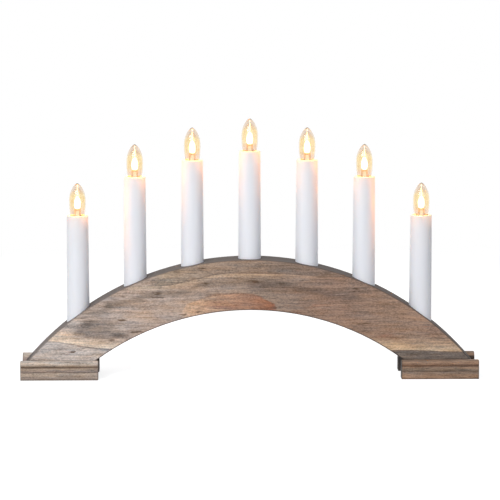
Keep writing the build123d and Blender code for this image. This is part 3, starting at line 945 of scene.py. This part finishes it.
def makeSeat(number, place, material):
    # A fluted cone: turned smooth, then every other column of vertices is drawn in
    outline = [(0, seat["foot"]), (seat["footRadius"], seat["foot"]),
               (seat["footRadius"], seat["footTop"]), (seat["wide"], seat["wideAt"]),
               seat["shoulder"], (seat["topRadius"], seat["top"]), (0, seat["top"])]
    bm = bmesh.new()
    turnOutline(bm, outline, seat["ribs"] * 4)
    for vert in bm.verts:
        reach = math.hypot(vert.co.x, vert.co.y)
        if reach > 0 and vert.co.z >= seat["wideAt"] * mm * 1.01:
            angle = math.atan2(vert.co.y, vert.co.x)
            share = (1 - math.cos(angle * seat["ribs"])) / 2
            vert.co.xy *= 1 - share * seat["ribDepth"] * mm / reach
    handOver(bm, "ledSeat", "bulb_led", number, place, [material], 50)


def makeLegs(number, place, material):
    # Four folded lead frames round the seat, each two legs that spread a little under a bridge
    bm = bmesh.new()
    high = legs["top"] - legs["foot"]
    bars = [(legs["bridge"], legs["bridgeHigh"], 0, legs["top"] - legs["bridgeHigh"] / 2)]
    bars += [(legs["width"], high, side, legs["foot"] + high / 2) for side in (-1, 1)]
    for quarter in range(4):
        turn = Matrix.Rotation(quarter * math.pi / 2, 3, "Z")
        for wide, tall, side, middle in bars:
            made = bmesh.ops.create_cube(bm, size=1)["verts"]
            bmesh.ops.scale(bm, vec=(wide * mm, legs["thick"] * mm, tall * mm), verts=made)
            bmesh.ops.translate(bm, vec=(0, -legs["out"] * mm, middle * mm), verts=made)
            for vert in made:
                share = (vert.co.z / mm - legs["foot"]) / high
                spread = legs["footX"] + (legs["topX"] - legs["footX"]) * share
                vert.co.x += side * spread * mm
            bmesh.ops.rotate(bm, cent=(0, 0, 0), matrix=turn, verts=made)
    bmesh.ops.bevel(bm, geom=bm.edges, offset=legs["edgeRound"] * mm, affect="EDGES", segments=2,
                    profile=0.5, material=-1)
    handOver(bm, "ledLegs", "bulb_led", number, place, [material])


def makeCap(number, place, material):
    # Plain tube with a rolled rim and a closed shoulder, and one ridge that winds up it
    top, foot = bulb["capTop"], bulb["capTop"] - cap["length"]
    root, wall, rim, shoulder = cap["root"], cap["wall"], cap["rim"], cap["shoulder"]
    outline = [(contact["radius"], foot),
               (root - cap["bendIn"], foot + shoulder * cap["bendShare"]),
               (root, foot + shoulder), (root, top - rim)]
    outline += arcPoints((cap["crest"] - rim / 2, top - rim / 2), rim / 2, -90, 90, 6)
    outline += [(root - wall, top), (root - wall, foot + shoulder),
                (contact["radius"] - wall, foot + wall)]
    bm = bmesh.new()
    turnOutline(bm, outline, cap["segments"])
    start = foot + shoulder + cap["pitch"] * cap["startShare"]
    verts = [bm.verts.new(((cap[level] + out) * mm, 0, (start + up) * mm))
             for level, out, up in ridgeSection]
    face = bm.faces.new(verts)
    steps = round(cap["turns"] * cap["turnSteps"])
    rise = Vector((0, 0, cap["pitch"] * cap["turns"] / steps)) * mm
    bmesh.ops.spin(bm, geom=[*face.verts, *face.edges, face], cent=(0, 0, 0), axis=(0, 0, 1),
                   angle=math.tau * cap["turns"], steps=steps, dvec=rise, use_duplicate=False)
    handOver(bm, "bulbCap", "bulb_cap", number, place, [material])


def makeTip(number, place, glass, solder):
    # The glass ring under the cap and the solder button in its middle, a ball flattened to a dome
    radius, dome = contact["radius"], contact["solderRadius"]
    edgeIn, edgeDown = contact["edge"]
    top = bulb["capTop"] - cap["length"] - contact["gap"]
    shoulder = top - contact["insulator"]
    bm = bmesh.new()
    turnOutline(bm, [(0, top), (radius, top), (radius - edgeIn, top - edgeDown),
                     (dome, shoulder), (0, shoulder)], contact["segments"])
    glassFaces = len(bm.faces)
    ball = [(0, contact["sunk"])] + arcPoints((0, 0), dome, 0, -90, 6)
    turnOutline(bm, [(r, shoulder + z * contact["solder"] / dome) for r, z in ball],
                contact["segments"])
    bm.faces.ensure_lookup_table()
    for face in bm.faces[glassFaces:]:
        face.material_index = 1
    handOver(bm, "bulbTip", "bulb_tip", number, place, [glass, solder],
             body="bulb_{}_tip")


envelopeAcrylic = clearAcrylic()
coreEpoxy = litEpoxy()
seatAcrylic = frostedSeat()
legMetal = hotFrame()
capMetal = platedMetal("nickelPlatedBrass", "cdc7bb", 0.24, 0.5)
tipGlass = blackGlass()
tipSolder = platedMetal("tinSolder", "a9abad", 0.42, 0.4)  # dull grey and slightly lumpy
for number in candleNumbers:
    place = candleFoot(number) + Vector((0, 0, sleeve["length"] * mm))
    makeEnvelope(number, place, envelopeAcrylic)
    makeCore(number, place, coreEpoxy)
    makeSeat(number, place, seatAcrylic)
    makeLegs(number, place, legMetal)
    makeCap(number, place, capMetal)
    makeTip(number, place, tipGlass, tipSolder)
print("bulbs made")


# Light

lampGlow = {"power": 0.068, "colour": "ffa352", "radius": 3.0, "height": 11.0}
softboxes = {
    "keyLight": {"place": (-1100, -1500, 1300), "size": 900, "power": 24, "colour": "ffffff"},
    "fillLight": {"place": (900, -1800, 700), "size": 1200, "power": 6, "colour": "f7f8ff"},
}
lightAim = (0, 0, 100)
skyLight = {"colour": "f4f6fa", "dark": (0.6, 0.75, -0.28), "bright": 0.75, "dim": 0.08}
studioFloor = {"half": 3000, "drop": 0.05, "clearAt": 800, "lift": 0.8, "colour": "c6c6c6"}
plainWhite = {"Color": (1, 1, 1, 1), "Strength": 1.0}


def addBulbLights():
    for number in candleNumbers:
        data = bpy.data.lights.new(f"bulbGlow_{number}", "POINT")
        data.energy, data.color = lampGlow["power"], hexColour(lampGlow["colour"])[:3]
        data.shadow_soft_size = lampGlow["radius"] * mm
        rise = Vector((0, 0, (sleeve["length"] + lampGlow["height"]) * mm))
        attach(addObject(f"bulbGlow_{number}", data, candleFoot(number) + rise), f"bulb_{number}")


def addSoftboxes():
    for name, box in softboxes.items():
        data = bpy.data.lights.new(name, "AREA")
        data.energy, data.color = box["power"], hexColour(box["colour"])[:3]
        data.size = box["size"] * mm
        turnTowards(addObject(name, data, Vector(box["place"]) * mm), Vector(lightAim) * mm)


def seenDirectly(tree):
    # 1 for rays that show the surroundings themselves: in the picture, through glass or in a gloss
    path = addNode(tree, "LightPath")
    clear = addNode(tree, "Math", {"operation": "MAXIMUM"},
                    {0: path.outputs["Is Camera Ray"], 1: path.outputs["Is Transmission Ray"]})
    return addNode(tree, "Math", {"operation": "MAXIMUM"},
                   {0: clear, 1: path.outputs["Is Glossy Ray"]})


def addSky():
    # Light from all round, weaker from behind and from the right
    world = bpy.data.worlds.new("studio")
    world.use_nodes = True
    tree = world.node_tree
    tree.nodes.clear()
    raw = addNode(tree, "TexCoord")
    towards = addNode(tree, "VectorMath", {"operation": "DOT_PRODUCT", 1: skyLight["dark"]},
                      {0: raw.outputs["Generated"]})
    strength = addNode(tree, "MapRange",
                       {1: -1, 2: 1, 3: skyLight["bright"], 4: skyLight["dim"]},
                       {0: towards.outputs["Value"]})
    ambient = addNode(tree, "Background", {"Color": hexColour(skyLight["colour"])},
                      {"Strength": strength})
    white = addNode(tree, "Background", plainWhite)
    mixed = addNode(tree, "MixShader", links={0: seenDirectly(tree), 1: ambient, 2: white})
    addNode(tree, "OutputWorld", links={"Surface": mixed})
    bpy.context.scene.world = world


def addFloor():
    # Matt white table that turns to pure white away from the arch, and keeps its shadow near it
    bm = bmesh.new()
    bmesh.ops.create_grid(bm, x_segments=2, y_segments=2, size=studioFloor["half"] * mm)
    bmesh.ops.translate(bm, verts=bm.verts, vec=(0, 0, -studioFloor["drop"] * mm))
    mesh = bpy.data.meshes.new("floor")
    bm.to_mesh(mesh)
    bm.free()
    material, tree, shader, raw = newMaterial("mattWhitePaper")
    near = addNode(tree, "Mapping", {"Scale": [1 / (studioFloor["clearAt"] * mm)] * 3},
                   {0: raw.outputs["Object"]})
    near = addNode(tree, "TexGradient", {"gradient_type": "SPHERICAL"}, {0: near})
    far = addNode(tree, "MapRange", {**smooth, 2: 0.5, 3: 1, 4: 0}, {0: near.outputs[1]})
    shown = seenDirectly(tree)
    lift = addNode(tree, "Math", {"operation": "MULTIPLY", 1: studioFloor["lift"]}, {0: shown})
    farShown = addNode(tree, "Math", {"operation": "MULTIPLY"}, {0: far, 1: shown})
    setNode(tree, shader,
            {"Base Color": hexColour(studioFloor["colour"]), "Roughness": 0.9,
             "Specular IOR Level": 0.0, "Emission Color": plainWhite["Color"]},
            {"Emission Strength": lift})
    white = addNode(tree, "Emission", plainWhite)
    mixed = addNode(tree, "MixShader", links={0: farShown, 1: shader, 2: white})
    setNode(tree, tree.nodes["Material Output"], links={"Surface": mixed})
    mesh.materials.append(material)
    addObject("floor", mesh)


addBulbLights()
addSoftboxes()
addSky()
addFloor()
print("lights and floor set")
